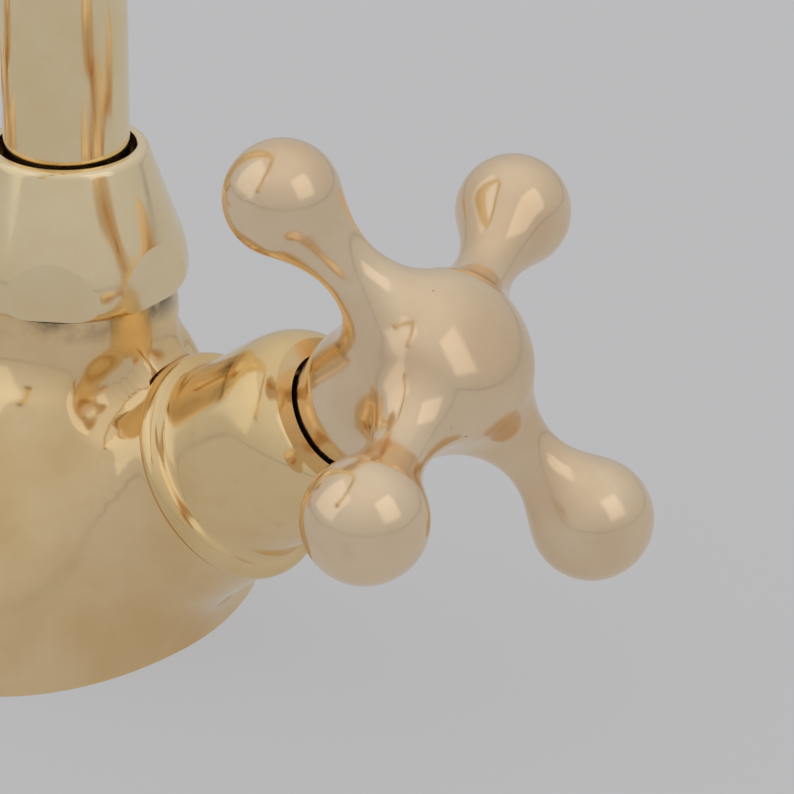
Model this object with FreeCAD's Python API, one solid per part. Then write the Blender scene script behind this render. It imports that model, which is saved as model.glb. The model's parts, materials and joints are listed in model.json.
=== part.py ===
import FreeCAD, Part
import math
import os

# Two-handle basin mixer in brass. Millimetres. The origin is the middle of the foot's underside, +Z is up,
# the spout reaches towards -Y, the cold valve rises towards +X and the hot valve towards -X.

# Clearances shared by all fits
running_fit = 0.05         # radial or axial play of parts that turn in each other
screwed_fit = 0.05         # radial play that stands for a screw thread in its nut
seated_gap = 0.02          # play of a part that is pushed into its seat
cutter_overrun = 1.0       # how far a cutting tool runs past the surface that it cuts
quarter_round = 0.3        # middle of a quarter-round edge, as a share of its radius

# Spout tube and swan neck
tube_radius = 7.5
tube_wall = 1.0
bend_radius = 58.0         # of the tube's middle line, half the spout's reach
bend_height = 150.0        # where the straight riser ends
drop_length = 22.0         # straight run down to the outlet

# Neck of the body, with the spout's collar, seals and nut
collar_wall = 0.9          # collar over the tube
collar_flange_width = 1.2
collar_flange_height = 3.0
collar_length = 17.5       # below its flange
tube_insertion = 8.0       # depth of the tube in the collar, below the flange's top
collar_bore_step = 2.0     # the collar's waterway is this much smaller than the tube
neck_wall = 2.55           # between spout bore and the nut's thread
nut_foot = 42.7            # lower edge of the nut
neck_thread_length = 7.8   # of the neck inside the nut
nut_foot_gap = 0.3         # dark line between the nut and the neck's shoulder
nut_wall = 2.0             # between its thread and its flats
nut_corner_height = 1.05   # of the turned corners over the flats
nut_height = 17.4
nut_hole_gap = 0.9         # dark gap round the tube
nut_lip_width = 1.4
nut_lip_drop = 0.45        # of the lip's two edges below its crest
nut_lip_round = 0.12       # drop of the lip's rounding halfway to its crest
nut_crest_share = 0.6      # place of the crest on the lip's width, from outside
nut_cone_height = 13.4
nut_land_height = 2.4
nut_chamfer = 0.8
nut_flange_play = 0.2      # round the collar's flange
nut_turn = -3.6            # angle of the first flat, degrees
slip_ring_height = 1.0
seal_section = 0.94        # radius of the spout seals' round section
seal_pitch = 5.0

# Foot and shoulder of the body
foot_half_width = 19.3
foot_half_depth = 28.7
neck_inset = 0.35          # of the neck's edge behind the nut's flats
neck_flare = 0.85          # the neck widens by this much down to the shoulder
neck_foot = 34.3           # height where the neck starts to spread into the shoulder
neck_root = 6.0            # depth of the neck inside the shoulder
shoulder_tuck = 0.55       # of the shoulder's upper end inside the neck, across the spout
shoulder_ledge = 1.75      # and outside it, along the spout
shoulder_stations = (      # share of the shoulder's height, and how much of the foot's spread is left there
    (0.0, 1.0),
    (0.25, 0.92),
    (0.5, 0.71),
    (0.75, 0.38),
    (1.0, 0.0),
)
gasket_rim = 1.6           # metal outside the gasket groove
gasket_width = 2.2
gasket_height = 2.0
gasket_recess = 0.1

# Connections and waterways in the body
inlet_radius = 4.5         # core of an M10 x 1 thread
inlet_depth = 8.0
inlet_wall = 3.0           # between the inlet and the gasket groove
stud_radius = 3.4          # core of an M8 thread
stud_depth = 12.0
stud_offset = 12.5         # in front of the middle
waterway_radius = 3.2
seat_hole_share = 0.45     # of the seat's distance, where the hole in the seat starts
inlet_end_share = 0.85     # of the seat's distance, where the inlet's waterway ends
mixing_port_share = 0.7    # of the chamber's radius, where the waterway to the spout leaves the chamber
mixing_depth = 1.0         # room under the spout's collar
mixing_port_rise = 0.5     # of the waterway's end above the floor of that room

# Valves, measured along their axis from where it crosses the body's axis
valve_tilt = 36.0          # above the horizontal, degrees
valve_cross = 7.05         # height of that crossing
arm_saddle = 0.4759        # level room between the neck and the inner edge of the arm's end
arm_wall = 2.9
arm_root_spread = 2.7
arm_root_distance = 8.8
arm_waist_share = 0.25     # of the root's spread that is left halfway along the arm
chamber_depth = 15.0       # from the arm's end down to the valve's seat
seat_seal_height = 2.0
disc_radius = 7.9
disc_thickness = 2.7
port_outer_share = 0.78    # of the disc's radius
port_inner_share = 0.22
port_angle = 80.0          # of each of a disc's two ports, degrees
fixed_port_turn = -40.0    # angle of the fixed disc's first port, degrees
closed_turn = 90.0         # from open to closed, degrees
tang_width_share = 0.38    # of the disc's radius
tang_length_share = 1.3
tang_height_share = 0.4    # of the disc's thickness
spindle_radius = 4.0
stem_wall = 0.9            # stem over spindle
stem_end = 1.2             # of the stem above its clip
drive_plate_height = 2.4
barrel_wall = 1.2
barrel_foot_gap = 0.4      # between the barrel's end and the seat
thread_step = 1.2          # headwork thread over its barrel
thread_length = 7.5
flange_step = 0.65         # headwork flange over its thread
flange_height = 2.7
headwork_seal_height = 0.8
headwork_seal_overhang = 0.4
hexagon_height = 4.0
hexagon_apothem = 8.5
hexagon_root = 0.2         # of the hexagon inside the gland's surface
gland_wall = 1.6
gland_length = 10.0
clip_height = 0.8
clip_width = 1.8
clip_groove_depth = 0.6
stem_seal_section = 0.74
stem_seal_pitch = 4.0

# Bell shrouds
bell_wall = 1.25
bell_overhang = 2.95       # of the bell's mouth over the headwork's gland
bell_seat_gap = 0.5        # round the headwork's flange, at the bell's foot
bell_seat_rise = 0.1       # of that foot over the flange's underside
bell_step_height = 1.0     # slope to the thicker wall over the flange
bead_step = 0.35           # of the bead's edges over the bell's side
bead_height = 1.4
bead_length = 3.65
bead_crest_share = 0.45    # place of the bead's crest on its length
waist_depth = 0.15         # the side is drawn in by this much over the bead
waist_rise = 3.0           # above the bead
crown_depth = 0.1          # the side is drawn in by this much where the crown starts
bell_round = 6.2           # length over which the crown rounds in
crown_round_depth = 1.2    # how far the crown has come in
crown_round_share = 0.36   # where this much of its length is left
mouth_gap = 0.45           # round the handle's skirt
mouth_lip = 1.9
mouth_edge = 0.3
mouth_length = 2.2

# Cross handles
handle_rise = 16.7         # from the skirt's edge to the arms' middle line
handle_foot_gap = 0.55     # between bell mouth and skirt
dome_height = 9.5          # over the arms' middle line
skirt_radius = 6.85
hub_radius = 11.4
hub_stations = (           # shares of the swell from skirt to hub, and of the rise from skirt to arms
    (0.2, 0.21),
    (0.55, 0.44),
)
dome_radius_share = 0.72   # of the hub's radius, where the dome has risen by
dome_rise_share = 0.69     # this share of its height
knob_reach = 26.8          # knob centres from the valve's axis
knob_radius = 7.2
knob_taper = 24.0          # half angle of the knob towards its neck, degrees
arm_neck_radius = 3.4
arm_neck_reach = 16.8
arm_root_share = 0.6       # radius of the handle's arm in the middle of the hub, of the hub's radius
arm_shoulder_share = 0.5   # its radius where it leaves the hub
arm_shoulder_reach = 0.9   # and the distance of that place
arm_turn = 21.9            # angle of the first arm, degrees
socket_depth = 11.5
socket_end_gap = 0.5       # over the spindle's end
screw_radius = 2.5
screw_length = 3.6
screw_key_share = 0.5      # half width of its socket, of the screw's radius, and depth, of its length
screw_height = 5.6         # above the skirt's edge
screw_turn = 66.9          # angle of the screw hole, degrees
spindle_flat = 0.6

# Outlet fitting of the spout
ferrule_wall = 1.7
ferrule_height = 8.0
outlet_thread_wall = 1.2
outlet_thread_length = 7.0
cap_wall = 1.6
cap_lip = 1.5
cap_edge = 0.8
washer_height = 1.0
insert_height = 2.4
insert_recess = 0.3        # of the jet plate's face inside the cap
jet_radius = 0.55
jet_pitch = 2.4
jet_rows = 2               # on each side of the middle row

# Sizes that follow from the ones above: body and spout
collar_radius = tube_radius + collar_wall
collar_flange_radius = collar_radius + collar_flange_width
collar_bore = tube_radius - collar_bore_step
neck_bore = collar_radius + running_fit
neck_thread = neck_bore + neck_wall
nut_thread = neck_thread + screwed_fit
nut_apothem = nut_thread + nut_wall
nut_corner = nut_apothem + nut_corner_height
nut_hole = tube_radius + nut_hole_gap
nut_top = nut_foot + nut_height
neck_seat = nut_foot - nut_foot_gap
neck_top = nut_foot + neck_thread_length
neck_radius = nut_apothem - neck_inset
shoulder_radius = neck_radius + neck_flare
flange_bottom = neck_top + running_fit
flange_top = flange_bottom + collar_flange_height
collar_bottom = flange_bottom - collar_length
tube_foot = flange_top - tube_insertion
slip_ring_bottom = flange_top + running_fit
slip_ring_top = slip_ring_bottom + slip_ring_height
inlet_offset = foot_half_width - gasket_rim - gasket_width - inlet_wall - inlet_radius
mixing_floor = collar_bottom - mixing_depth
seal_heights = (collar_bottom + 2 * seal_section, collar_bottom + 2 * seal_section + seal_pitch)
tube_end = bend_height - drop_length
outlet_thread = tube_radius + outlet_thread_wall
cap_radius = outlet_thread + screwed_fit + cap_wall
washer_bottom = -outlet_thread_length - washer_height
insert_bottom = washer_bottom - insert_height
cap_foot = insert_bottom - cap_lip

# Sizes that follow: valves, bells and handles
stem_radius = spindle_radius + stem_wall
barrel_bore = disc_radius + running_fit
barrel_radius = barrel_bore + barrel_wall
headwork_thread = barrel_radius + thread_step
chamber_radius = headwork_thread + screwed_fit
arm_end_radius = chamber_radius + arm_wall
arm_root_radius = arm_end_radius + arm_root_spread
arm_inner_edge = shoulder_radius + arm_saddle + arm_end_radius * math.sin(math.radians(valve_tilt))
arm_length = arm_inner_edge / math.cos(math.radians(valve_tilt))
seat_distance = arm_length - chamber_depth
headwork_flange = headwork_thread + flange_step
fixed_disc_bottom = seat_distance + seat_seal_height
turning_disc_bottom = fixed_disc_bottom + disc_thickness + seated_gap
drive_bottom = turning_disc_bottom + disc_thickness + seated_gap
drive_top = drive_bottom + drive_plate_height
flange_foot = arm_length + headwork_seal_height
hexagon_foot = flange_foot + flange_height
gland_foot = hexagon_foot + hexagon_height
gland_top = gland_foot + gland_length
gland_radius = stem_radius + gland_wall
stem_seal_heights = (hexagon_foot, hexagon_foot + stem_seal_pitch)
stem_top = gland_top + clip_height + stem_end
bell_top = gland_top + bell_overhang
bell_radius = headwork_flange + bell_wall
mouth_radius = skirt_radius + mouth_gap
skirt_foot = bell_top + handle_foot_gap
handle_plane = skirt_foot + handle_rise
handle_top = handle_plane + dome_height
spindle_top = skirt_foot + socket_depth - socket_end_gap
knob_end = knob_reach + knob_radius
screw_foot = spindle_radius - spindle_flat

ORIGIN = FreeCAD.Vector(0, 0, 0)
UP = FreeCAD.Vector(0, 0, 1)
ACROSS = FreeCAD.Vector(0, 1, 0)


def at(radius, height):
    return FreeCAD.Vector(radius, 0, height)


def turned(start, *steps):
    """Solid turned about Z from (radius, height) points. A step of two points is an arc through both."""
    edges = []
    here = at(*start)
    for step in steps + (start,):
        if isinstance(step[0], tuple):
            middle = at(*step[0])
            there = at(*step[1])
            edges.append(Part.Arc(here, middle, there).toShape())
        else:
            there = at(*step)
            edges.append(Part.LineSegment(here, there).toShape())
        here = there
    return Part.Face(Part.Wire(edges)).revolve(ORIGIN, UP, 360)


def rod(radius, bottom, top):
    return Part.makeCylinder(radius, top - bottom, FreeCAD.Vector(0, 0, bottom))


def ring(inner, outer, bottom, top):
    return rod(outer, bottom, top).cut(rod(inner, bottom, top))


def round_ring(middle_radius, section, height):
    return Part.makeTorus(middle_radius, section, FreeCAD.Vector(0, 0, height))


def groove(outer, depth, middle, half_width):
    """Cutter for a square groove in a turned surface."""
    return ring(outer - depth, outer + cutter_overrun, middle - half_width, middle + half_width)


def drilled(start, end, radius):
    return Part.makeCylinder(radius, start.distanceToPoint(end), start, end - start)


def hexagon(apothem, bottom, top, turn=0.0):
    corner = apothem / math.cos(math.radians(30))
    angles = [math.radians(turn + 30 + 60 * k) for k in range(7)]
    points = [FreeCAD.Vector(corner * math.cos(a), corner * math.sin(a), bottom) for a in angles]
    return Part.Face(Part.makePolygon(points)).extrude(UP * (top - bottom))


def oval(half_width, half_depth, height):
    ellipse = Part.Ellipse(FreeCAD.Vector(0, 0, height), half_depth, half_width)
    ellipse.rotate(FreeCAD.Placement(FreeCAD.Vector(0, 0, height), UP, 90))
    return Part.Wire(ellipse.toShape())


def curve_through(points, first, last):
    curve = Part.BSplineCurve()
    curve.interpolate(Points=points, InitialTangent=first, FinalTangent=last)
    return curve.toShape()


def valve_place(side):
    """Stands a shape made along Z on the valve's axis: side +1 is cold, -1 is hot."""
    turn = FreeCAD.Rotation(ACROSS, side * (90.0 - valve_tilt))
    return FreeCAD.Placement(FreeCAD.Vector(0, 0, valve_cross), turn)


def on_valve(shape, side):
    placed = shape.copy()
    placed.Placement = valve_place(side).multiply(placed.Placement)
    return placed


def write(name, *solids):
    shape = solids[0] if len(solids) == 1 else Part.makeCompound(list(solids))
    shape.exportStep("parts/" + name + ".step")


# The body: an oval foot that narrows to the round neck, two raised arms, and the waterways drilled inside.
def oval_prism(inset, bottom, top):
    face = Part.Face(oval(foot_half_width - inset, foot_half_depth - inset, bottom))
    return face.extrude(UP * (top - bottom))


def body_shoulder():
    """Loft from the foot to a narrow ledge round the neck, domed in between."""
    rings = []
    top_width = shoulder_radius - shoulder_tuck
    top_depth = shoulder_radius + shoulder_ledge
    for share, fullness in shoulder_stations:
        half_width = top_width + fullness * (foot_half_width - top_width)
        half_depth = top_depth + fullness * (foot_half_depth - top_depth)
        rings.append(oval(half_width, half_depth, share * neck_foot))
    return Part.makeLoft(rings, True)


def body_neck():
    return turned(
        (0, neck_foot - neck_root),
        (shoulder_radius, neck_foot - neck_root),
        (shoulder_radius, neck_foot),
        (neck_radius, neck_seat),
        (neck_thread, neck_seat),
        (neck_thread, neck_top),
        (0, neck_top),
    )


def body_arm(side):
    halfway = 0.5 * (arm_root_distance + arm_length)
    waist = arm_end_radius + arm_waist_share * (arm_root_radius - arm_end_radius)
    arm = turned(
        (0, arm_root_distance),
        (arm_root_radius, arm_root_distance),
        ((waist, halfway), (arm_end_radius, arm_length)),
        (0, arm_length),
    )
    return on_valve(arm, side)


def valve_waterways(side):
    """Chamber and seat of one valve, its inlet from below, and the way from the chamber to the spout."""
    chamber = rod(chamber_radius, seat_distance, arm_length)
    seat_hole = rod(waterway_radius, seat_hole_share * seat_distance, seat_distance)
    inlet_foot = FreeCAD.Vector(side * inlet_offset, 0, 0)
    inlet_end = FreeCAD.Vector(side * inlet_offset, 0, inlet_depth)
    seat_end = valve_place(side).multVec(FreeCAD.Vector(0, 0, inlet_end_share * seat_distance))
    mixing_end = FreeCAD.Vector(side * (neck_bore - waterway_radius), 0, mixing_floor + mixing_port_rise)
    port_end = FreeCAD.Vector(-side * mixing_port_share * chamber_radius, 0, seat_distance + waterway_radius)
    return [
        on_valve(chamber, side),
        on_valve(seat_hole, side),
        drilled(inlet_foot, inlet_end, inlet_radius),
        drilled(inlet_end, seat_end, waterway_radius),
        drilled(mixing_end, valve_place(side).multVec(port_end), waterway_radius),
    ]


def body_casting():
    body = body_shoulder().fuse(body_neck())
    for side in (1, -1):
        body = body.fuse(body_arm(side))
    reach = 4.0 * foot_half_depth
    below = Part.makeBox(2 * reach, 2 * reach, reach, FreeCAD.Vector(-reach, -reach, -reach))
    body = body.cut(below)
    body = body.cut(rod(neck_bore, mixing_floor, neck_top))
    for side in (1, -1):
        for waterway in valve_waterways(side):
            body = body.cut(waterway)
    stud_foot = FreeCAD.Vector(0, -stud_offset, 0)
    body = body.cut(drilled(stud_foot, stud_foot + UP * stud_depth, stud_radius))
    gasket_room = oval_prism(gasket_rim, 0, gasket_height + gasket_recess)
    gasket_room = gasket_room.cut(oval_prism(gasket_rim + gasket_width, 0, gasket_height + gasket_recess))
    return body.cut(gasket_room).removeSplitter()


def foot_gasket():
    top = gasket_recess + gasket_height
    outer = oval_prism(gasket_rim + seated_gap, gasket_recess, top)
    return outer.cut(oval_prism(gasket_rim + gasket_width - seated_gap, gasket_recess, top))


# The spout: collar with its seals, slip ring and nut at the foot, the bent tube, and the outlet fitting.
def spout_collar():
    collar = turned(
        (collar_bore, collar_bottom),
        (collar_radius, collar_bottom),
        (collar_radius, flange_bottom),
        (collar_flange_radius, flange_bottom),
        (collar_flange_radius, flange_top),
        (tube_radius + seated_gap, flange_top),
        (tube_radius + seated_gap, tube_foot),
        (collar_bore, tube_foot),
    )
    for height in seal_heights:
        collar = collar.cut(groove(collar_radius, 2 * seal_section, height, seal_section + seated_gap))
    return collar


def spout_seals():
    middle = collar_radius - seal_section + seated_gap
    return [round_ring(middle, seal_section, height) for height in seal_heights]


def spout_slip_ring():
    return ring(nut_hole, collar_flange_radius, slip_ring_bottom, slip_ring_top)


def spout_nut():
    lip_radius = nut_hole + nut_lip_width
    crest = nut_crest_share * nut_lip_width
    cone_foot = nut_top - nut_cone_height
    land_foot = cone_foot - nut_land_height
    flange_room = collar_flange_radius + nut_flange_play
    shell = turned(
        (nut_thread, nut_foot),
        (nut_corner - nut_chamfer, nut_foot),
        (nut_corner, land_foot),
        (nut_corner, cone_foot),
        (lip_radius, nut_top - nut_lip_drop),
        ((lip_radius - 0.5 * crest, nut_top - nut_lip_round), (lip_radius - crest, nut_top)),
        (nut_hole, nut_top - nut_lip_drop),
        (nut_hole, slip_ring_top),
        (flange_room, slip_ring_top),
        (flange_room, flange_bottom),
        (nut_thread, flange_bottom),
    )
    return shell.common(hexagon(nut_apothem, nut_foot, nut_top, nut_turn))


def swan_neck(radius):
    riser_foot = FreeCAD.Vector(0, 0, tube_foot)
    riser_top = FreeCAD.Vector(0, 0, bend_height)
    crown = FreeCAD.Vector(0, -bend_radius, bend_height + bend_radius)
    drop_top = FreeCAD.Vector(0, -2 * bend_radius, bend_height)
    drop_foot = FreeCAD.Vector(0, -2 * bend_radius, tube_end)
    path = Part.Wire([
        Part.LineSegment(riser_foot, riser_top).toShape(),
        Part.Arc(riser_top, crown, drop_top).toShape(),
        Part.LineSegment(drop_top, drop_foot).toShape(),
    ])
    section = Part.Wire(Part.makeCircle(radius, riser_foot, UP))
    return path.makePipeShell([section], True, False)


def spout_tube():
    return swan_neck(tube_radius).cut(swan_neck(tube_radius - tube_wall))


def at_outlet(shape):
    moved = shape.copy()
    moved.translate(FreeCAD.Vector(0, -2 * bend_radius, tube_end))
    return moved


def outlet_ferrule():
    outer = tube_radius + ferrule_wall
    rounding = quarter_round * ferrule_wall
    return turned(
        (tube_radius - tube_wall, -outlet_thread_length),
        (outlet_thread, -outlet_thread_length),
        (outlet_thread, 0),
        (outer, 0),
        (outer, ferrule_height - ferrule_wall),
        ((outer - rounding, ferrule_height - rounding), (tube_radius + seated_gap, ferrule_height)),
        (tube_radius + seated_gap, 0),
        (tube_radius - tube_wall, 0),
    )


def outlet_cap():
    hole = tube_radius
    rounding = quarter_round * cap_edge
    return turned(
        (hole, cap_foot),
        (cap_radius - cap_edge, cap_foot),
        ((cap_radius - rounding, cap_foot + rounding), (cap_radius, cap_foot + cap_edge)),
        (cap_radius, -cap_edge - seated_gap),
        (cap_radius - cap_edge, -seated_gap),
        (outlet_thread + screwed_fit, -seated_gap),
        (outlet_thread + screwed_fit, insert_bottom),
        (hole, insert_bottom),
    )


def outlet_washer():
    return ring(tube_radius - tube_wall, outlet_thread, washer_bottom, -outlet_thread_length)


def outlet_insert():
    """Flat jet plate with a rim that sits on the cap's lip and a face that fills the cap's hole."""
    plate = rod(outlet_thread, insert_bottom, washer_bottom)
    plate = plate.fuse(rod(tube_radius - 2 * seated_gap, cap_foot + insert_recess, insert_bottom))
    for row in range(-jet_rows, jet_rows + 1):
        for column in range(-jet_rows, jet_rows + 1):
            x = jet_pitch * (column + 0.5 * (row % 2))
            y = jet_pitch * row * math.sqrt(0.75)
            if math.hypot(x, y) + jet_radius < tube_radius - tube_wall:
                jet = rod(jet_radius, cap_foot, washer_bottom)
                jet.translate(FreeCAD.Vector(x, y, 0))
                plate = plate.cut(jet)
    return plate


# One valve, made along Z and stood on its axis: seat seal, two discs, spindle, headwork, bell and handle.
def seat_seal():
    return ring(waterway_radius, barrel_bore - 2 * seated_gap, seat_distance, fixed_disc_bottom - seated_gap)


def port(bottom, top, turn):
    """Sector-shaped water port through a disc."""
    sector = Part.makeCylinder(
        port_outer_share * disc_radius, top - bottom, FreeCAD.Vector(0, 0, bottom), UP, port_angle)
    sector = sector.cut(rod(port_inner_share * disc_radius, bottom, top))
    sector.rotate(ORIGIN, UP, turn)
    return sector


def disc(bottom, turn):
    top = bottom + disc_thickness
    plate = rod(disc_radius, bottom, top)
    for half in (0, 180):
        plate = plate.cut(port(bottom, top, turn + half))
    return plate


def drive_tang(play):
    """Bar across the spindle's foot that turns the upper disc."""
    width = tang_width_share * disc_radius + 2 * play
    length = tang_length_share * disc_radius + 2 * play
    height = tang_height_share * disc_thickness + play
    corner = FreeCAD.Vector(-length / 2, -width / 2, drive_bottom - height)
    return Part.makeBox(length, width, height, corner)


def fixed_disc():
    return disc(fixed_disc_bottom, fixed_port_turn)


def turning_disc():
    return disc(turning_disc_bottom, fixed_port_turn + closed_turn).cut(drive_tang(running_fit))


def spindle(side):
    shape = turned(
        (0, drive_bottom),
        (disc_radius, drive_bottom),
        (disc_radius, drive_top),
        (stem_radius, drive_top),
        (stem_radius, stem_top),
        (spindle_radius, stem_top),
        (spindle_radius, spindle_top),
        (0, spindle_top),
    )
    shape = shape.fuse(drive_tang(0))
    for height in stem_seal_heights:
        shape = shape.cut(groove(stem_radius, 2 * stem_seal_section, height, stem_seal_section + seated_gap))
    clip_middle = gland_top + 0.5 * clip_height + 1.5 * seated_gap
    clip_room = 0.5 * (clip_height + seated_gap)
    shape = shape.cut(groove(stem_radius, clip_groove_depth, clip_middle, clip_room))
    flat = Part.makeBox(spindle_radius, 4 * spindle_radius, spindle_top - stem_top)
    flat.translate(FreeCAD.Vector(screw_foot, -2 * spindle_radius, stem_top))
    flat.rotate(ORIGIN, UP, screw_angle(side))
    return shape.cut(flat)


def stem_seals():
    middle = stem_radius - stem_seal_section
    return [round_ring(middle, stem_seal_section - seated_gap, height) for height in stem_seal_heights]


def spindle_clip():
    """Open retaining ring in the stem's groove, lying on the top of the gland."""
    inner = stem_radius - clip_groove_depth
    bottom = gland_top + running_fit
    clip = ring(inner + running_fit, inner + clip_width, bottom, bottom + clip_height - running_fit)
    mouth = Part.makeBox(4 * stem_radius, stem_radius, clip_height + 2 * cutter_overrun)
    mouth.translate(FreeCAD.Vector(0, -0.5 * stem_radius, gland_top - cutter_overrun))
    return clip.cut(mouth)


def headwork():
    body = turned(
        (barrel_bore, seat_distance + barrel_foot_gap),
        (barrel_radius, seat_distance + barrel_foot_gap),
        (barrel_radius, arm_length - thread_length),
        (headwork_thread, arm_length - thread_length),
        (headwork_thread, flange_foot),
        (headwork_flange, flange_foot),
        (headwork_flange, hexagon_foot),
        (gland_radius, hexagon_foot),
        (gland_radius, gland_top),
        (stem_radius + running_fit, gland_top),
        (stem_radius + running_fit, drive_top + running_fit),
        (barrel_bore, drive_top + running_fit),
    )
    key = hexagon(hexagon_apothem, hexagon_foot, gland_foot)
    body = body.fuse(key.cut(rod(gland_radius - hexagon_root, hexagon_foot, gland_foot)))
    window_foot = fixed_disc_bottom + disc_thickness
    window_height = arm_length - thread_length - window_foot
    for turn in (0, 90):
        window = Part.makeBox(4 * barrel_radius, barrel_radius, window_height)
        window.translate(FreeCAD.Vector(-2 * barrel_radius, -0.5 * barrel_radius, window_foot))
        window.rotate(ORIGIN, UP, turn)
        body = body.cut(window)
    return body


def headwork_seal():
    outer = headwork_flange + headwork_seal_overhang
    return ring(chamber_radius, outer, arm_length, flange_foot - seated_gap)


def bell():
    bead_edge = bell_radius + bead_step
    bead_crest = (bead_edge + bead_height, arm_length + bead_crest_share * bead_length)
    bead_top = arm_length + bead_length
    crown_foot = bell_top - bell_round
    crown_middle = (bell_radius - crown_round_depth, bell_top - crown_round_share * bell_round)
    flange_room = headwork_flange + screwed_fit
    seat = headwork_flange + bell_seat_gap
    return turned(
        (seat, arm_length),
        (bead_edge, arm_length),
        (bead_crest, (bead_edge, bead_top)),
        ((bell_radius - waist_depth, bead_top + waist_rise), (bell_radius - crown_depth, crown_foot)),
        (crown_middle, (mouth_radius + mouth_lip, bell_top)),
        (mouth_radius, bell_top - mouth_edge),
        (mouth_radius, bell_top - mouth_length),
        (flange_room - bell_wall, crown_foot),
        (flange_room - bell_wall, hexagon_foot + bell_step_height),
        (flange_room, hexagon_foot),
        (flange_room, flange_foot + bell_seat_rise),
        (seat, flange_foot + bell_seat_rise),
    )


def handle_hub():
    """Turned hub: a narrow skirt over the bell's mouth, swelling to the arms and closed by a low dome."""
    skirt = at(skirt_radius, skirt_foot)
    swell = hub_radius - skirt_radius
    rise = handle_plane - skirt_foot
    crown = handle_top - handle_plane
    points = [skirt]
    for swell_share, rise_share in hub_stations:
        points.append(at(skirt_radius + swell_share * swell, skirt_foot + rise_share * rise))
    points.append(at(hub_radius, handle_plane))
    points.append(at(dome_radius_share * hub_radius, handle_plane + dome_rise_share * crown))
    points.append(at(0, handle_top))
    outline = Part.Wire([
        curve_through(points, UP, FreeCAD.Vector(-1, 0, 0)),
        Part.LineSegment(at(0, handle_top), at(0, skirt_foot)).toShape(),
        Part.LineSegment(at(0, skirt_foot), skirt).toShape(),
    ])
    return Part.Face(outline).revolve(ORIGIN, UP, 360)


def handle_arm():
    """Arm along Z from the hub's middle: it narrows to a neck and swells to a pear-shaped knob."""
    taper = math.radians(knob_taper)
    root = at(arm_root_share * hub_radius, 0)
    shoulder = at(arm_shoulder_share * hub_radius, arm_shoulder_reach * hub_radius)
    neck = at(arm_neck_radius, arm_neck_reach)
    knob_side = at(knob_radius * math.cos(taper), knob_reach - knob_radius * math.sin(taper))
    slope = FreeCAD.Vector(math.sin(taper), 0, math.cos(taper))
    outline = Part.Wire([
        curve_through([root, shoulder, neck, knob_side], UP, slope),
        Part.Arc(knob_side, at(knob_radius, knob_reach), at(0, knob_end)).toShape(),
        Part.LineSegment(at(0, knob_end), ORIGIN).toShape(),
        Part.LineSegment(ORIGIN, root).toShape(),
    ])
    return Part.Face(outline).revolve(ORIGIN, UP, 360)


def cross_handle(side):
    handle = handle_hub()
    for quarter in range(4):
        arm = handle_arm()
        arm.rotate(ORIGIN, ACROSS, 90)
        arm.rotate(ORIGIN, UP, side * arm_turn + 90 * quarter)
        arm.translate(UP * handle_plane)
        handle = handle.fuse(arm)
    handle = handle.cut(rod(spindle_radius + seated_gap, skirt_foot, skirt_foot + socket_depth))
    return handle.cut(along_screw(rod(screw_radius + screwed_fit, 0, 2 * hub_radius), side))


def screw_angle(side):
    return screw_turn if side > 0 else 180 - screw_turn


def along_screw(shape, side):
    """Lays a shape made along Z on the set screw's axis, which points out of the hub."""
    laid = shape.copy()
    laid.rotate(ORIGIN, ACROSS, 90)
    laid.rotate(ORIGIN, UP, screw_angle(side))
    laid.translate(UP * (skirt_foot + screw_height))
    return laid


def set_screw(side):
    end = screw_foot + screw_length
    socket = hexagon(screw_key_share * screw_radius, end - screw_key_share * screw_length, end)
    return along_screw(rod(screw_radius, screw_foot, end).cut(socket), side)


os.makedirs("parts", exist_ok=True)

write("body_casting", body_casting())
write("foot_gasket", foot_gasket())
write("spout_collar", spout_collar())
write("spout_seals", *spout_seals())
write("spout_slip_ring", spout_slip_ring())
write("spout_nut", spout_nut())
write("spout_tube", spout_tube())
write("outlet_ferrule", at_outlet(outlet_ferrule()))
write("outlet_washer", at_outlet(outlet_washer()))
write("outlet_insert", at_outlet(outlet_insert()))
write("outlet_cap", at_outlet(outlet_cap()))

for name, side in (("cold", 1), ("hot", -1)):
    write(name + "_seat_seal", on_valve(seat_seal(), side))
    write(name + "_fixed_disc", on_valve(fixed_disc(), side))
    write(name + "_turning_disc", on_valve(turning_disc(), side))
    write(name + "_spindle", on_valve(spindle(side), side))
    write(name + "_stem_seals", *[on_valve(seal, side) for seal in stem_seals()])
    write(name + "_spindle_clip", on_valve(spindle_clip(), side))
    write(name + "_headwork", on_valve(headwork(), side))
    write(name + "_headwork_seal", on_valve(headwork_seal(), side))
    write(name + "_bell", on_valve(bell(), side))
    write(name + "_handle", on_valve(cross_handle(side), side))
    write(name + "_set_screw", on_valve(set_screw(side), side))
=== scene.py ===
import json
import math

import bmesh
import bpy
from mathutils import Matrix, Vector
from mathutils.geometry import interpolate_bezier


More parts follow.
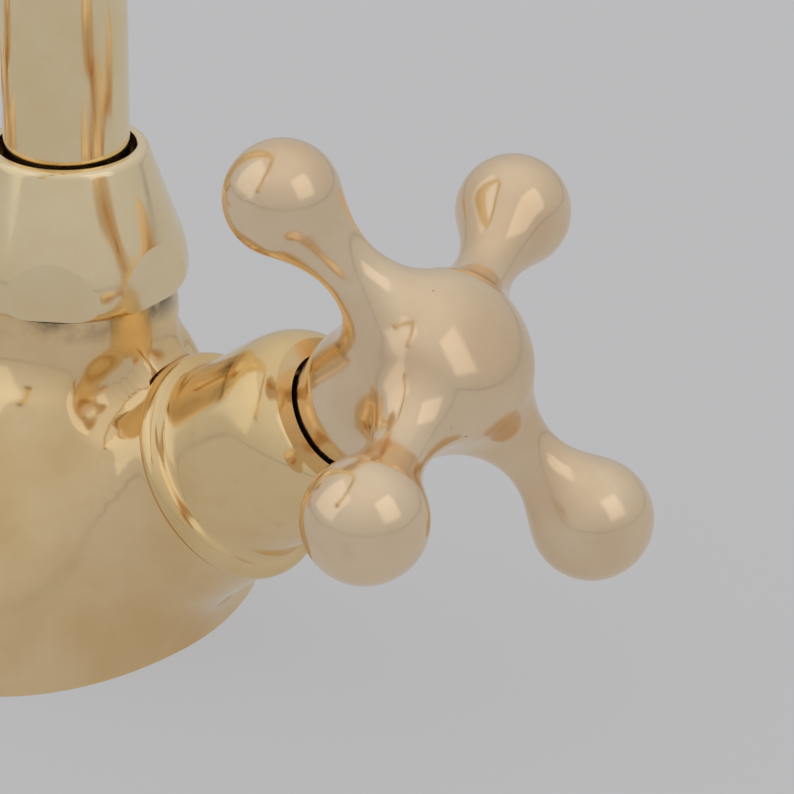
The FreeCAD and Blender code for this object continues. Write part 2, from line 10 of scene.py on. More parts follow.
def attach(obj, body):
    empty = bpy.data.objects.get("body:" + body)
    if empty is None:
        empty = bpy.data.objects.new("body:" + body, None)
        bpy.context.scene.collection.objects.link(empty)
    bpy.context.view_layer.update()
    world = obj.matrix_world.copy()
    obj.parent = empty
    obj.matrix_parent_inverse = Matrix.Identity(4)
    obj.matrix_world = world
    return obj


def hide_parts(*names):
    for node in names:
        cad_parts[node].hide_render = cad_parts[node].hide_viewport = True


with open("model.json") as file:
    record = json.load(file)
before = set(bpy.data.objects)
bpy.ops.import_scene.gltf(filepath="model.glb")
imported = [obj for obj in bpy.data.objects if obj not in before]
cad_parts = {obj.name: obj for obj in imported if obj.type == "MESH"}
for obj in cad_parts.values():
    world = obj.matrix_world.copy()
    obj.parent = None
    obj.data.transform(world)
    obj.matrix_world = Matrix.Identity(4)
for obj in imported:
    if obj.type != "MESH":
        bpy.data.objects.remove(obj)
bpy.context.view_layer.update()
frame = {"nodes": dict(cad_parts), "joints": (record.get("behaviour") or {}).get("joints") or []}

# Body: one brass sand casting with an oval foot, a round neck for the spout and two raised arms for the
# valves, a hollow on either side of each arm and fillets in its inner corners. It is machined at its openings
# and buffed by hand to an unlacquered shine. Just under the nut it is painted darker: the nut's shade,
# mixed with tarnish and dirt where the mop didn't reach.
mm = 0.001
weld, sliver, level_band = 0.002, 0.01, 0.05
foot_half_width, foot_half_depth, foot_skirt, foot_points = 19.3, 28.7, 4.0, 96
ledge_half_width, ledge_half_depth = 13.0, 15.3
shoulder_height, shoulder_rings = 34.3, 14
neck_seat, neck_top = 42.4, 50.5
neck_outline = [(0, 24), (13.55, 24), (13.55, shoulder_height), (12.7, neck_seat), (12.0, 53), (0, 53)]
neck_bore_cutter = [(0, 32.05), (8.45, 32.05), (8.45, neck_top), (20, neck_top), (20, 60), (0, 60)]
neck_thread_cutter = [(11.0, neck_seat), (20, neck_seat), (20, 54), (11.0, 54), (11.0, neck_seat)]
arm_root, arm_end, arm_overrun = (16.0, 8.8), (13.7, 27.85), (13.7, 29.4)
arm_cutter = [
    (0, 12), (10.4, 12), (10.4, 27.0), (11.6, 27.0),
    (11.6, arm_end[1]), (14.4, arm_end[1]), (14.4, 40), (0, 40),
]
inlet_offset, inlet_cutter = 8.0, [(0, -1), (4.5, -1), (4.5, 8), (0, 8)]
stud_offset, stud_cutter = 12.5, [(0, -1), (3.4, -1), (3.4, 12), (0, 12)]
gasket_rim, gasket_width, gasket_depth = 1.6, 2.2, 2.1
scoop_place, scoop_radius, scoop_depth = Vector((12.5, 7.8, 32.9)), 6.5, 2.0
body_grain, arm_fillet, neck_fillet, body_polish = 0.5, 4.0, 3.2, 24
valve_turns = {joint["name"].split("_")[0]: joint for joint in frame["joints"] if "turn" in joint["name"]}


def curve(start, lean_out, lean_in, end, points=16):
    """Points of a smooth curve in an outline, after its first one."""
    spots = interpolate_bezier(Vector(start), Vector(lean_out), Vector(lean_in), Vector(end), points)
    return [tuple(spot)[:2] for spot in spots][1:]


def spun(shape, outline, steps=128, place=Matrix()):
    """Turns an outline of (radius, height) points, in millimetres, about Z and moves it to its place."""
    before = set(shape.verts)
    points = [shape.verts.new((radius * mm, 0, height * mm)) for radius, height in outline]
    edges = [shape.edges.new(pair) for pair in zip(points, points[1:])]
    bmesh.ops.spin(
        shape, geom=points + edges, cent=(0, 0, 0), axis=(0, 0, 1), angle=math.tau, steps=steps,
        use_merge=True)
    bmesh.ops.remove_doubles(shape, verts=[v for v in shape.verts if v not in before], dist=weld * mm)
    bmesh.ops.transform(shape, matrix=place, verts=[v for v in shape.verts if v not in before])


def drawn(shape, rim, move=(0, 0, 0), scale=(1, 1, 1)):
    """Draws an open rim out to a new one, which is scaled about the Z axis and moved."""
    grown = bmesh.ops.extrude_edge_only(shape, edges=rim)["geom"]
    ring = [item for item in grown if isinstance(item, bmesh.types.BMVert)]
    bmesh.ops.scale(shape, vec=scale, verts=ring)
    bmesh.ops.translate(shape, vec=move, verts=ring)
    return [item for item in grown if isinstance(item, bmesh.types.BMEdge)
            and all(end in ring for end in item.verts)]


def sliced(shape, point, facing, band):
    """Cuts off what lies in front of a plane, and gives the open rim."""
    everything = shape.verts[:] + shape.edges[:] + shape.faces[:]
    cut = bmesh.ops.bisect_plane(
        shape, geom=everything, dist=band * mm, plane_co=point, plane_no=facing, clear_outer=True)
    return [item for item in cut["geom_cut"] if isinstance(item, bmesh.types.BMEdge)]


def as_piece(shape, name):
    """Makes a bmesh a smooth object at the origin."""
    bmesh.ops.recalc_face_normals(shape, faces=shape.faces)
    for face in shape.faces:
        face.smooth = True
    mesh = bpy.data.meshes.new(name)
    shape.to_mesh(mesh)
    shape.free()
    piece = bpy.data.objects.new(name, mesh)
    bpy.context.scene.collection.objects.link(piece)
    return piece


def settle(piece):
    """Applies a piece's modifiers."""
    seen = piece.evaluated_get(bpy.context.evaluated_depsgraph_get())
    mesh = bpy.data.meshes.new_from_object(seen)
    piece.modifiers.clear()
    old = piece.data
    piece.data = mesh
    bpy.data.meshes.remove(old)
    mesh.name = piece.name


def cast(piece, grain, fillet, polish, rubs=10):
    """Melts overlapping shells into one skin with a fillet in every inner corner, and rubs it smooth."""
    for swell in (fillet, -fillet):
        melt = piece.modifiers.new("melt", "REMESH")
        melt.mode = "VOXEL"
        melt.voxel_size = grain * mm
        rub = piece.modifiers.new("rub", "SMOOTH")
        rub.factor = 0.5
        rub.iterations = rubs
        grow = piece.modifiers.new("grow", "DISPLACE")
        grow.mid_level = 0
        grow.strength = swell * mm
    shine = piece.modifiers.new("shine", "SMOOTH")
    shine.factor = 0.5
    shine.iterations = polish
    settle(piece)


def cleaned(piece, size, split):
    """Merges slivers under a size in millimetres, and takes off fins: faces with an open edge or a twin."""
    shape = bmesh.new()
    shape.from_mesh(piece.data)
    bmesh.ops.remove_doubles(shape, verts=shape.verts, dist=size * mm)
    bmesh.ops.dissolve_degenerate(shape, edges=shape.edges, dist=size * mm)
    if split:
        bmesh.ops.triangulate(shape, faces=shape.faces)
        bmesh.ops.dissolve_degenerate(shape, edges=shape.edges, dist=size * mm)
    twins = {}
    for face in shape.faces:
        twins.setdefault(frozenset(face.verts), []).append(face)
    fins = {face for pair in twins.values() if len(pair) > 1 for face in pair}
    fins.update(face for face in shape.faces if any(edge.is_boundary for edge in face.edges))
    bmesh.ops.delete(shape, geom=list(fins), context="FACES")
    bmesh.ops.recalc_face_normals(shape, faces=shape.faces)
    shape.to_mesh(piece.data)
    shape.free()


def bored(piece, *cutters, steps=96):
    """Cuts turned tools out of a piece: each is an outline and its place."""
    for outline, place in cutters:
        shape = bmesh.new()
        spun(shape, outline, steps, place)
        tool = as_piece(shape, "tool")
        cut = piece.modifiers.new("cut", "BOOLEAN")
        cut.operation = "DIFFERENCE"
        cut.object = tool
        settle(piece)
        bpy.data.objects.remove(tool)
    cleaned(piece, sliver, split=True)


def crisp(piece, degrees=35):
    """Smooth faces with hard edges where they meet at a steep angle."""
    piece.data.shade_smooth()
    piece.data.set_sharp_from_angle(angle=math.radians(degrees))


def valve_place(side):
    """Stands what is made along Z on that side's valve axis."""
    turn = valve_turns[side]
    lean = Vector((0, 0, 1)).rotation_difference(Vector(turn["axis"])).to_matrix().to_4x4()
    return Matrix.Translation(turn["pos_m"]) @ lean


# The arms are melted into the foot and dome first, and then the neck, with a tighter fillet.
shape = bmesh.new()
foot = bmesh.ops.create_circle(shape, cap_ends=True, segments=foot_points, radius=mm)["verts"]
bmesh.ops.scale(shape, vec=(foot_half_width, foot_half_depth, 1), verts=foot)
bmesh.ops.translate(shape, vec=(0, 0, -foot_skirt * mm), verts=foot)
rim = [edge for edge in shape.edges if len(edge.link_faces) == 1]
width, depth, height = foot_half_width, foot_half_depth, -foot_skirt
for step in range(shoulder_rings + 1):
    share = step / shoulder_rings
    spread = math.cos(math.pi / 2 * share)
    next_width = ledge_half_width + spread * (foot_half_width - ledge_half_width)
    next_depth = ledge_half_depth + spread * (foot_half_depth - ledge_half_depth)
    rise = (share * shoulder_height - height) * mm
    rim = drawn(shape, rim, (0, 0, rise), (next_width / width, next_depth / depth, 1))
    width, depth, height = next_width, next_depth, share * shoulder_height
bmesh.ops.edgeloop_fill(shape, edges=rim)
arm_outline = [
    (0, arm_root[1]), arm_root, *curve(arm_root, (14.2, 15.0), (13.5, 21.0), arm_end),
    arm_overrun, (0, arm_overrun[1]),
]
for side in valve_turns:
    spun(shape, arm_outline, 128, valve_place(side))
body_casting = as_piece(shape, "body")
cast(body_casting, body_grain, arm_fillet, body_polish)
shape = bmesh.new()
shape.from_mesh(body_casting.data)
spun(shape, neck_outline)
bmesh.ops.recalc_face_normals(shape, faces=shape.faces)
shape.to_mesh(body_casting.data)
shape.free()
cast(body_casting, body_grain, neck_fillet, body_polish)

# The hollows are pressed in, the skirt below the sole is cut off and the sole gets its gasket groove.
shape = bmesh.new()
shape.from_mesh(body_casting.data)
shape.normal_update()
for point in shape.verts:
    apart = Vector((abs(point.co.x), abs(point.co.y), point.co.z)) / mm - scoop_place
    share = max(0, 1 - (apart.length / scoop_radius) ** 2)
    point.co -= point.normal * scoop_depth * mm * share ** 2
rim = sliced(shape, (0, 0, 0), (0, 0, -1), level_band)
for point in {end for edge in rim for end in edge.verts}:
    point.co.z = 0
sole = bmesh.ops.edgeloop_fill(shape, edges=rim)["faces"]
bmesh.ops.inset_region(
    shape, faces=sole, thickness=gasket_rim * mm, use_boundary=True, use_even_offset=True)
groove = bmesh.ops.inset_region(
    shape, faces=sole, thickness=gasket_width * mm, use_boundary=True, use_even_offset=True)["faces"]
sunk = bmesh.ops.extrude_face_region(shape, geom=groove)["geom"]
sunk = [item for item in sunk if isinstance(item, bmesh.types.BMVert)]
bmesh.ops.translate(shape, vec=(0, 0, gasket_depth * mm), verts=sunk)
bmesh.ops.delete(shape, geom=[face for face in groove if face.is_valid], context="FACES_ONLY")
bmesh.ops.recalc_face_normals(shape, faces=shape.faces)
shape.to_mesh(body_casting.data)
shape.free()
bored(
    body_casting,
    (neck_bore_cutter, Matrix()),
    (neck_thread_cutter, Matrix()),
    (arm_cutter, valve_place("cold")),
    (arm_cutter, valve_place("hot")),
    (inlet_cutter, Matrix.Translation((inlet_offset * mm, 0, 0))),
    (inlet_cutter, Matrix.Translation((-inlet_offset * mm, 0, 0))),
    (stud_cutter, Matrix.Translation((0, -stud_offset * mm, 0))),
)
crisp(body_casting)


def noise(material, scale, detail, stretch=(1, 1, 1), turn=(0, 0, 0)):
    """A cloud on the piece's own coordinates, which a stretch draws out into lines."""
    nodes, links = material.node_tree.nodes, material.node_tree.links
    lay = nodes.new("ShaderNodeMapping")
    lay.inputs["Scale"].default_value = stretch
    lay.inputs["Rotation"].default_value = turn
    links.new(nodes.new("ShaderNodeTexCoord").outputs["Object"], lay.inputs["Vector"])
    cloud = nodes.new("ShaderNodeTexNoise")
    cloud.inputs["Scale"].default_value = scale
    cloud.inputs["Detail"].default_value = detail
    links.new(lay.outputs["Vector"], cloud.inputs["Vector"])
    return cloud.outputs["Fac"]


def spread_out(material, value, low, high, first, last):
    """Maps a value between low and high to one between first and last."""
    band = material.node_tree.nodes.new("ShaderNodeMapRange")
    for key, number in (("From Min", low), ("From Max", high), ("To Min", first), ("To Max", last)):
        band.inputs[key].default_value = number
    material.node_tree.links.new(value, band.inputs["Value"])
    return band.outputs["Result"]


def product(material, first, second):
    """One value times another."""
    times = material.node_tree.nodes.new("ShaderNodeMath")
    times.operation = "MULTIPLY"
    material.node_tree.links.new(first, times.inputs[0])
    material.node_tree.links.new(second, times.inputs[1])
    return times.outputs["Value"]


def blended(material, share, first, second):
    """A colour between the first, which may be another node's output, and the second."""
    mix = material.node_tree.nodes.new("ShaderNodeMix")
    mix.data_type = "RGBA"
    material.node_tree.links.new(share, mix.inputs["Factor"])
    if isinstance(first, tuple):
        mix.inputs["A"].default_value = (*first, 1)
    else:
        material.node_tree.links.new(first, mix.inputs["A"])
    mix.inputs["B"].default_value = (*second, 1)
    return mix.outputs["Result"]


def raised(material, *layers):
    """Bumps laid over each other: each is a height and its depth in metres."""
    normal = None
    for height, depth in layers:
        bump = material.node_tree.nodes.new("ShaderNodeBump")
        bump.inputs["Strength"].default_value = 1
        bump.inputs["Distance"].default_value = depth
        material.node_tree.links.new(height, bump.inputs["Height"])
        if normal is not None:
            material.node_tree.links.new(normal, bump.inputs["Normal"])
        normal = bump.outputs["Normal"]
    return normal


def polished_brass(name, colour, tarnish, gloss, wave, shade_and_dirt_band=None, pitted=0.0):
    """Buffed brass: patchy tone, slow waves and hairlines left by the mop, a few casting pits, and a dark
    band
    between two heights: painted shade under the part above, mixed with patchy dirt where the mop doesn't
    reach."""
    pit_colour, shade_and_dirt_colour = (0.16, 0.11, 0.06), (0.10, 0.085, 0.07)
    hairline, pit_depth, dulling = 0.0000010, 0.00003, 0.12
    material = bpy.data.materials.new(name)
    material.use_nodes = True
    nodes, links = material.node_tree.nodes, material.node_tree.links
    brass = nodes["Principled BSDF"]
    brass.inputs["Metallic"].default_value = 1.0
    place = nodes.new("ShaderNodeTexCoord").outputs["Object"]
    cells = nodes.new("ShaderNodeTexVoronoi")
    cells.inputs["Scale"].default_value = 330
    links.new(place, cells.inputs["Vector"])
    rare = spread_out(material, cells.outputs["Color"], 0.76, 0.78, 0, 1)
    pit = product(material, rare, spread_out(material, cells.outputs["Distance"], 0.02, 0.06, pitted, 0))
    tone = blended(material, spread_out(material, noise(material, 75, 6), 0.42, 0.72, 0, 1), colour, tarnish)
    streak = noise(material, 260, 3, (1, 0.08, 1), (0.5, 0.3, 0.6))
    tone = blended(material, spread_out(material, streak, 0.58, 0.80, 0, 0.5), tone, tarnish)
    tone = blended(material, pit, tone, pit_colour)
    # Painted shade and dirt: between the two heights the tone is darkened in blotches, standing for the shade
    # under the part above and for dirt there.
    if shade_and_dirt_band:
        apart = nodes.new("ShaderNodeSeparateXYZ")
        links.new(place, apart.inputs["Vector"])
        under_nut = spread_out(material, apart.outputs["Z"], shade_and_dirt_band[0] * mm, shade_and_dirt_band[1] * mm, 0, 1)
        blotch = spread_out(material, noise(material, 210, 5), 0.50, 0.70, 0, 0.8)
        tone = blended(material, product(material, under_nut, blotch), tone, shade_and_dirt_colour)
    links.new(tone, brass.inputs["Base Color"])
    haze = spread_out(material, noise(material, 170, 5), 0.3, 0.75, gloss, gloss + dulling)
    links.new(haze, brass.inputs["Roughness"])
    links.new(
        raised(
            material,
            (noise(material, 95, 1.5), wave),
            (noise(material, 3200, 2, (1, 1, 0.02), (0.4, 0.9, 0)), hairline),
            (noise(material, 2600, 2, (0.02, 1, 1), (0.2, 0.5, 0.7)), hairline),
            (spread_out(material, pit, 0, 1, 1, 0), pit_depth),
        ),
        brass.inputs["Normal"],
    )
    return material


# The body's tone is darkened between 39.5 and 42.3 mm, just under the nut: painted shade of the nut, mixed
# with tarnish and dirt.
body_brass = polished_brass(
    "body_brass", (0.90, 0.68, 0.39), (0.82, 0.57, 0.28), 0.09, 0.00004, shade_and_dirt_band=(39.5, 42.3))
body_casting.data.materials.append(body_brass)
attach(body_casting, "faucet_body")
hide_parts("body_casting")


# Foot gasket: a ring of moulded black rubber in the groove under the foot, which the tap stands on when it
# is drawn down on the basin. Rubber has a dull skin with pale bloom on it.
def dull(name, colour, bloom, roughness, grain, relief, metallic=0.0):
    """A dull stuff with patches of a second tone, uneven shine and a fine grain."""
    material = bpy.data.materials.new(name)
    material.use_nodes = True
    stuff = material.node_tree.nodes["Principled BSDF"]
    stuff.inputs["Metallic"].default_value = metallic
    links = material.node_tree.links
    patches = spread_out(material, noise(material, 240, 6), 0.4, 0.75, 0, 1)
    links.new(blended(material, patches, colour, bloom), stuff.inputs["Base Color"])
    shine = spread_out(material, noise(material, 700, 3), 0.3, 0.7, roughness - 0.08, roughness + 0.08)
    links.new(shine, stuff.inputs["Roughness"])
    links.new(raised(material, (noise(material, grain, 3), relief)), stuff.inputs["Normal"])
    return material


def dress(material, *names):
    """Gives carried-over pieces their material."""
    for name in names:
        for holder in frame["nodes"][name].material_slots:
            holder.material = material


seal_rubber = dull("seal_rubber", (0.018, 0.018, 0.019), (0.045, 0.044, 0.042), 0.55, 5000, 0.000006)
dress(seal_rubber, "foot_gasket")

# Spout foot: a turned brass collar, soldered round the tube, that swivels in the neck on two rubber rings.
# A plain ring of moulded acetal lies on its flange, so that the nut above doesn't drag on it.
# The turned brass inside the tap is dull and dark: partly tarnish, partly painted shade, so that it reads
# dark in the gaps where it shows.
turned_brass = polished_brass("turned_brass", (0.70, 0.52, 0.26), (0.46, 0.31, 0.14), 0.26, 0.00001)
acetal = dull("acetal", (0.70, 0.69, 0.64), (0.62, 0.60, 0.54), 0.38, 2600, 0.000004)
dress(turned_brass, "spout_collar")
dress(seal_rubber, "spout_seals")
dress(acetal, "spout_slip_ring")

# Spout nut: a hexagon nut turned to a cone on top, screwed down on the neck to hold the spout's collar.
# Its flats are milled, so they end in a round arch against the cone, and its edges are softened by buffing.
nut_apothem, nut_flat_turn, nut_edge = 13.05, -3.6, 0.3
nut_outline = [
    (11.05, 50.55), (11.05, 42.7), (13.2, 42.7),
    *curve((13.2, 42.7), (13.7, 42.75), (14.25, 43.7), (14.3, 44.5)),
    *curve((14.3, 44.5), (14.3, 46.2), (13.95, 47.4), (13.5, 48.8)), (9.85, 59.2),
    *curve((9.85, 59.2), (9.65, 59.75), (9.35, 60.1), (8.8, 60.1), 8), (8.45, 60.1), (8.3, 59.95),
    (8.3, 54.6), (9.8, 54.6), (9.8, 50.55), (11.05, 50.55),
]
shape = bmesh.new()
spun(shape, nut_outline, 240)
for flat in range(6):
    angle = math.radians(nut_flat_turn + 60 * flat)
    facing = Vector((math.cos(angle), math.sin(angle), 0))
    bmesh.ops.edgeloop_fill(shape, edges=sliced(shape, facing * nut_apothem * mm, facing, sliver))
spout_nut = as_piece(shape, "spout_nut")
soften = spout_nut.modifiers.new("soften", "BEVEL")
soften.width = nut_edge * mm
soften.segments = 4
soften.limit_method = "ANGLE"
soften.angle_limit = math.radians(7)
settle(spout_nut)
cleaned(spout_nut, weld, split=False)
crisp(spout_nut, 60)
nut_brass = polished_brass("nut_brass", (0.95, 0.79, 0.52), (0.89, 0.69, 0.41), 0.08, 0.00003)
spout_nut.data.materials.append(nut_brass)
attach(spout_nut, "faucet_body")
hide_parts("spout_nut")

# Spout tube: 15 mm brass tube with a 1 mm wall, bent on a former into a swan neck and polished lengthwise.
# Its foot is soldered into the collar under the nut, and its end into the outlet's ferrule.
tube_radius, tube_wall, tube_points, bend_steps = 7.5, 1.0, 96, 96
tube_foot, bend_height, bend_radius, tube_end = 45.55, 150.0, 58.0, 128.0
shape = bmesh.new()
section = bmesh.ops.create_circle(shape, segments=tube_points, radius=tube_radius * mm)["verts"]
bmesh.ops.translate(shape, vec=(0, 0, tube_foot * mm), verts=section)
rim = drawn(shape, shape.edges[:], (0, 0, (bend_height - tube_foot) * mm))
bent = bmesh.ops.spin(
    shape, geom=rim, cent=(0, -bend_radius * mm, bend_height * mm), axis=(1, 0, 0), angle=math.pi,
    steps=bend_steps)
rim = [item for item in bent["geom_last"] if isinstance(item, bmesh.types.BMEdge)]
drawn(shape, rim, (0, 0, (tube_end - bend_height) * mm))
bmesh.ops.remove_doubles(shape, verts=shape.verts, dist=weld * mm)
spout_tube = as_piece(shape, "spout_tube")
wall = spout_tube.modifiers.new("wall", "SOLIDIFY")
wall.thickness = tube_wall * mm
wall.offset = -1
settle(spout_tube)
crisp(spout_tube)
tube_brass = polished_brass("tube_brass", (0.95, 0.79, 0.51), (0.90, 0.70, 0.40), 0.07, 0.00002)
spout_tube.data.materials.append(tube_brass)
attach(spout_tube, "spout")
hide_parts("spout_tube")

# Outlet: a turned ferrule soldered on the end of the tube, and a screwed cap that clamps a rubber washer and
# a moulded jet plate against it.
outlet_place = Matrix.Translation((0, -2 * bend_radius * mm, tube_end * mm))
ferrule_outline = [
    (6.5, 0), (6.5, -7.0), (8.7, -7.0), (8.7, 0), (9.0, 0),
    *curve((9.0, 0), (9.15, 0.05), (9.2, 0.1), (9.2, 0.3), 6),
    (9.2, 6.0), *curve((9.2, 6.0), (9.2, 7.0), (8.6, 8.0), (7.55, 8.0)), (7.55, 0), (6.5, 0),
]
cap_outline = [
    (7.5, -11.9), (9.5, -11.9), *curve((9.5, -11.9), (10.1, -11.9), (10.35, -11.5), (10.35, -11.0)),
    (10.35, -1.0), *curve((10.35, -1.0), (10.35, -0.4), (10.0, -0.05), (9.5, -0.05)), (8.75, -0.05),
    (8.75, -10.4), (7.5, -10.4), (7.5, -11.9),
]
for name, outline in (("outlet_ferrule", ferrule_outline), ("outlet_cap", cap_outline)):
    shape = bmesh.new()
    spun(shape, outline, 128, outlet_place)
    fitting = as_piece(shape, name)
    crisp(fitting)
    fitting.data.materials.append(tube_brass)
    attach(fitting, "spout")
    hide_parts(name)
dress(seal_rubber, "outlet_washer")
dress(acetal, "outlet_insert")

# Valves: in each arm a turned brass headwork holds two lapped ceramic discs on a rubber seat. The spindle
# turns the upper disc, is sealed by two rubber rings and is kept in by a blued spring clip.
valve_ceramic = dull("valve_ceramic", (0.80, 0.78, 0.73), (0.74, 0.71, 0.65), 0.16, 4200, 0.000001)
# The clip is near black: partly its blued finish, partly painted shade for the gap round the spindle under
# the handle.
blued_steel_with_painted_shade = dull(
    "blued_steel_with_painted_shade", (0.035, 0.035, 0.040), (0.060, 0.056, 0.052), 0.45, 3000, 0.000003, metallic=1.0)
for side in valve_turns:
    dress(seal_rubber, side + "_seat_seal", side + "_stem_seals", side + "_headwork_seal")
    dress(valve_ceramic, side + "_fixed_disc", side + "_turning_disc")
    dress(turned_brass, side + "_spindle", side + "_headwork")
    dress(blued_steel_with_painted_shade, side + "_spindle_clip")

# Bells: thin brass shrouds over the valves, turned from cast blanks, with a round bead where they sit on the
# body's arms and a flat face round the mouth that the handle's skirt stands in.
bell_outline = [
    (11.05, 27.9), (13.4, 27.9), *curve((13.4, 27.9), (14.6, 28.0), (14.4, 30.3), (12.75, 30.6)),
    *curve((12.75, 30.6), (12.35, 30.75), (12.12, 31.2), (12.1, 32.0), 6),
    *curve((12.1, 32.0), (12.05, 35), (12.2, 39), (12.1, 41.5)),
    *curve((12.1, 41.5), (12.0, 44.2), (11.0, 46.2), (9.45, 47.1)), (7.4, 47.5), (7.3, 47.4),
    (7.3, 45.25), (9.8, 41.25), (9.8, 31.5), (11.05, 30.5), (11.05, 27.9),
]
bell_brass = polished_brass("bell_brass", (0.90, 0.68, 0.37), (0.81, 0.56, 0.26), 0.08, 0.00003)
for side in valve_turns:
    shape = bmesh.new()
    spun(shape, bell_outline, 160, valve_place(side))
    bell = as_piece(shape, side + "_bell")
    crisp(bell, 15)
    bell.data.materials.append(bell_brass)
    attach(bell, "faucet_body")
    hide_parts(side + "_bell")

# Cross handles: each is one solid casting, a domed hub with four pear-shaped knobs on waisted arms that run
# into the hub without a break. It is filed and buffed by hand, so no two knobs are quite the same.
handle_plane, handle_grain, handle_fillet, handle_polish = 64.7, 0.42, 3.6, 30
hub_outline = [
    (0, 43), (6.85, 43), (6.85, 47.9), *curve((6.85, 47.9), (7.2, 49.4), (8.5, 50.2), (8.8, 52.5)),
    *curve((8.8, 52.5), (9.3, 57.0), (10.4, 62.0), (10.5, 66.3)),
    *curve((10.5, 66.3), (10.5, 71.2), (7.0, 74.1), (0, 74.1)),
]
arm_turn = {"cold": 21.9, "hot": -21.9}
knobs = {
    "cold": ((7.35, 26.8), (6.95, 27.2), (6.9, 27.3), (7.4, 26.8)),
    "hot": ((7.3, 26.9), (6.95, 27.0), (7.0, 27.2), (7.35, 26.8)),
}
knob_taper, knob_lean, knob_steps = math.radians(30), 3.4, 16
root, waist = (7.4, 0), (3.5, 16.0)
screw_turn, screw_height = {"cold": 66.9, "hot": 113.1}, 53.6
socket_cutter = [(0, 40), (4.02, 40), (4.02, 59.5), (0, 59.5)]
skirt_cutter = [(0, 36), (16, 36), (16, 47.8), (0, 47.8)]
screw_cutter = [(0, 0), (2.55, 0), (2.55, 22), (0, 22)]
outward = Matrix.Rotation(math.pi / 2, 4, "Y")
handle_brass = polished_brass(
    "handle_brass", (0.91, 0.72, 0.50), (0.84, 0.62, 0.40), 0.10, 0.00006, pitted=1.0)
for side in valve_turns:
    shape = bmesh.new()
    spun(shape, hub_outline)
    for quarter, (knob, reach) in enumerate(knobs[side]):
        flank = (knob * math.cos(knob_taper), reach - knob * math.sin(knob_taper))
        below = (flank[0] - knob_lean * math.sin(knob_taper), flank[1] - knob_lean * math.cos(knob_taper))
        arm = [
            (0, 0), root, *curve(root, (7.0, 8.5), (waist[0], 12.0), waist),
            *curve(waist, (waist[0], 18.2), below, flank),
        ]
        for step in range(1, knob_steps + 1):
            angle = -knob_taper + (math.pi / 2 + knob_taper) * step / knob_steps
            arm.append((knob * math.cos(angle), reach + knob * math.sin(angle)))
        round_hub = Matrix.Rotation(math.radians(arm_turn[side] + 90 * quarter), 4, "Z")
        spun(shape, arm, 96, Matrix.Translation((0, 0, handle_plane * mm)) @ round_hub @ outward)
    handle = as_piece(shape, side + "_handle")
    cast(handle, handle_grain, handle_fillet, handle_polish)
    screw_way = Matrix.Rotation(math.radians(screw_turn[side]), 4, "Z") @ outward
    bored(
        handle,
        (skirt_cutter, Matrix()),
        (socket_cutter, Matrix()),
        (screw_cutter, Matrix.Translation((0, 0, screw_height * mm)) @ screw_way),
    )
    handle.data.transform(valve_place(side))
    crisp(handle)
    handle.data.materials.append(handle_brass)
    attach(handle, side + "_cross")
    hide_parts(side + "_handle")

# Set screws: hexagon-socket grub screws in bright steel, driven in through the side of each hub to hold the
# handle on the flat of its spindle.
bright_steel = dull(
    "bright_steel", (0.50, 0.50, 0.51), (0.36, 0.34, 0.31), 0.30, 3000, 0.000003, metallic=1.0)
for side in valve_turns:
    dress(bright_steel, side + "_set_screw")

# Studio: a pale grey floor that the camera and the brass see lifted to the backdrop's tone, a soft grey
# surround that brightens overhead, two dim soft boxes and the camera.
floor_size, floor_colour = 3, (0.53, 0.53, 0.54)
backdrop_colour, backdrop_share = (0.545, 0.545, 0.556), 0.75
shape = bmesh.new()
bmesh.ops.create_grid(shape, x_segments=1, y_segments=1, size=floor_size)
floor = as_piece(shape, "floor")
paper = bpy.data.materials.new("floor_paper")
paper.use_nodes = True
sheet = paper.node_tree.nodes["Principled BSDF"]
sheet.inputs["Base Color"].default_value = (*floor_colour, 1)
sheet.inputs["Roughness"].default_value = 0.9
sheet.inputs["Specular IOR Level"].default_value = 0.0
glow = paper.node_tree.nodes.new("ShaderNodeEmission")
glow.inputs["Color"].default_value = (*backdrop_colour, 1)
path = paper.node_tree.nodes.new("ShaderNodeLightPath")
seen = path.outputs["Is Camera Ray"]
for ray in ("Is Glossy Ray", "Is Transmission Ray"):
    either = paper.node_tree.nodes.new("ShaderNodeMath")
    either.operation = "MAXIMUM"
    paper.node_tree.links.new(seen, either.inputs[0])
    paper.node_tree.links.new(path.outputs[ray], either.inputs[1])
    seen = either.outputs["Value"]
lift = paper.node_tree.nodes.new("ShaderNodeMixShader")
paper.node_tree.links.new(spread_out(paper, seen, 0, 1, 0, backdrop_share), lift.inputs["Fac"])
paper.node_tree.links.new(sheet.outputs["BSDF"], lift.inputs[1])
paper.node_tree.links.new(glow.outputs["Emission"], lift.inputs[2])
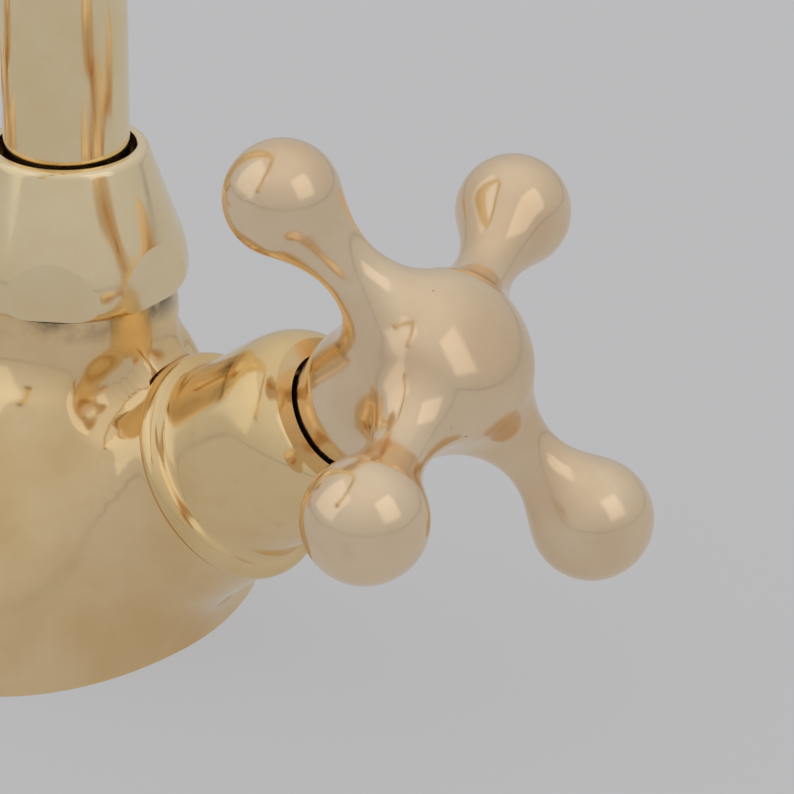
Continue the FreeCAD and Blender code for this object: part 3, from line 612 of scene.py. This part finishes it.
paper.node_tree.links.new(lift.outputs["Shader"], paper.node_tree.nodes["Material Output"].inputs["Surface"])
floor.data.materials.append(paper)

surround = ((0.0, 0.34), (0.03, 0.50), (0.5, 0.58), (0.95, 0.70))
world = bpy.data.worlds.new("surround")
bpy.context.scene.world = world
world.use_nodes = True
nodes, links = world.node_tree.nodes, world.node_tree.links
apart = nodes.new("ShaderNodeSeparateXYZ")
links.new(nodes.new("ShaderNodeTexCoord").outputs["Generated"], apart.inputs["Vector"])
rise = nodes.new("ShaderNodeValToRGB")
while len(rise.color_ramp.elements) < len(surround):
    rise.color_ramp.elements.new(0.5)
for stop, (position, grey) in zip(rise.color_ramp.elements, surround):
    stop.position = position
    stop.color = (grey, grey, grey, 1)
links.new(apart.outputs["Z"], rise.inputs["Fac"])
links.new(rise.outputs["Color"], nodes["Background"].inputs["Color"])


def soft_box(name, place, aim, size, radiance):
    """A lit rectangle turned to face a point."""
    light = bpy.data.lights.new(name, "AREA")
    light.shape = "RECTANGLE"
    light.size, light.size_y = size
    light.energy = radiance * math.pi * size[0] * size[1]
    lamp = bpy.data.objects.new(name, light)
    lamp.location = place
    lamp.rotation_euler = (Vector(aim) - Vector(place)).to_track_quat("-Z", "Y").to_euler()
    bpy.context.scene.collection.objects.link(lamp)


soft_box("left_box", (-0.95, -0.75, 0.95), (0, 0, 0.05), (1.5, 1.5), 0.16)
soft_box("right_box", (1.2, -0.1, 0.9), (0.03, 0, 0.05), (0.9, 1.0), 0.20)

lens = bpy.data.cameras.new("camera")
lens.sensor_width = 36
lens.lens = 228.16
camera = bpy.data.objects.new("camera", lens)
camera_place = Matrix.Translation((0.327231, -0.441080, 0.288942))
azimuth, elevation, roll = (math.radians(angle) for angle in (32.48, 25.54, 0.47))
stand = Matrix.Rotation(azimuth, 4, "Z") @ Matrix.Rotation(math.pi / 2 - elevation, 4, "X")
camera.matrix_world = camera_place @ stand @ Matrix.Rotation(roll, 4, "Z")
bpy.context.scene.collection.objects.link(camera)
bpy.context.scene.camera = camera
bpy.context.scene.view_settings.view_transform = "Standard"
